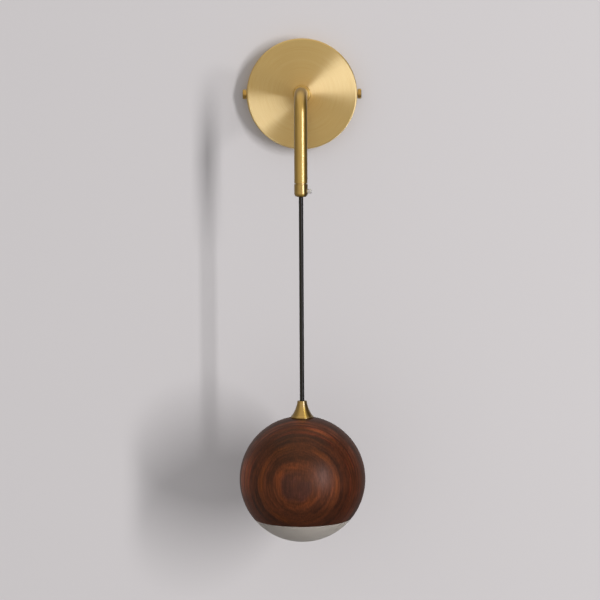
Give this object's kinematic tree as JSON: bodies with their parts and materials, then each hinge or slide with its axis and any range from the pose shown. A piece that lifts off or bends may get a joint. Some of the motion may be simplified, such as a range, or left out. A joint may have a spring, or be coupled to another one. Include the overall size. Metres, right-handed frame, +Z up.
{
  "type": "wall sconce",
  "caption": "Wall sconce: a round brass canopy and a bent brass arm carry a walnut ball lamp with an opal cap on a black cord.",
  "frame": {"origin": "centre of the canopy's back, on the wall", "axes": "+Y into the wall, +Z up, so the arm stands out towards -Y and the ball hangs towards -Z"},
  "size_m": [0.12, 0.18, 0.4804],
  "materials": {
    "brass": "satin, brushed round the canopy and along the turned pieces",
    "steel": "bright zinc plate",
    "zinc_steel": "pressed strip, zinc plated",
    "walnut": "turned, satin oil",
    "opal": "opal acrylic, satin",
    "cord": "fine black braid",
    "nylon": "natural nylon, slightly clear",
    "white_plastic": "moulded, fine texture",
    "aluminium": "spun, matt",
    "board": "white solder mask on aluminium",
    "led": "phosphor under clear resin",
    "foam": "closed-cell foam",
    "lead_sheath": "extruded lead insulation"
  },
  "bodies": {
    "wall_unit": {"wall_bracket": "zinc_steel", "earth_screw": "brass", "terminal_block": "white_plastic", "terminal_clamps": "brass", "terminal_screws": "steel", "block_screws": "steel", "canopy": "brass", "arm_collar": "brass", "arm_tube": "brass", "arm_stud": "brass", "arm_washer": "steel", "arm_nut": "steel", "led_driver": "white_plastic", "driver_pad": "foam", "supply_leads": "lead_sheath", "output_leads": "lead_sheath", "arm_ferrule": "brass", "cord_inner": "cord"},
    "left_screw": {"canopy_screw_left": "brass"},
    "right_screw": {"canopy_screw_right": "brass"},
    "cord_clamp": {"grip_screw": "nylon"},
    "cord_link": {"cord_upper": "cord"},
    "cord_drop": {"cord_lower": "cord", "cord_stop": "aluminium"},
    "ball": {"cord_cone": "brass", "ball_nipple": "steel", "ball_shell": "walnut", "lamp_cup": "aluminium", "cup_washer": "steel", "cup_nut": "steel", "led_board": "board", "led_chips": "led", "board_screws": "steel", "board_leads": "lead_sheath"},
    "opal_cap": {"diffuser": "opal"}
  },
  "joints": [
    {"name": "left_screw_turn", "type": "hinge", "parent": "wall_unit", "child": "left_screw", "pos_m": [-0.0545, -0.009, 0], "axis": [-1, 0, 0], "range_deg": [0, 1080]},
    {"name": "right_screw_turn", "type": "hinge", "parent": "wall_unit", "child": "right_screw", "pos_m": [0.0545, -0.009, 0], "axis": [1, 0, 0], "range_deg": [0, 1080]},
    {"name": "grip_screw_turn", "type": "hinge", "parent": "wall_unit", "child": "cord_clamp", "pos_m": [0.0064, -0.12, -0.0916], "axis": [1, 0, 0], "range_deg": [0, 720]},
    {"name": "cord_swing_side", "type": "hinge", "parent": "wall_unit", "child": "cord_link", "pos_m": [0, -0.12, -0.1004], "axis": [0, -1, 0], "range_deg": [-45, 45]},
    {"name": "cord_swing_fore", "type": "hinge", "parent": "cord_link", "child": "cord_drop", "pos_m": [0, -0.12, -0.1364], "axis": [-1, 0, 0], "range_deg": [-14, 45]},
    {"name": "ball_turn", "type": "hinge", "parent": "cord_drop", "child": "ball", "pos_m": [0, -0.12, -0.291], "axis": [0, 0, 1], "range_deg": [-180, 180], "stiffness_Nm_per_rad": 0.002},
    {"name": "diffuser_twist", "type": "hinge", "parent": "ball", "child": "opal_cap", "pos_m": [0, -0.12, -0.404], "axis": [0, 0, 1], "range_deg": [0, 25]}
  ]
}
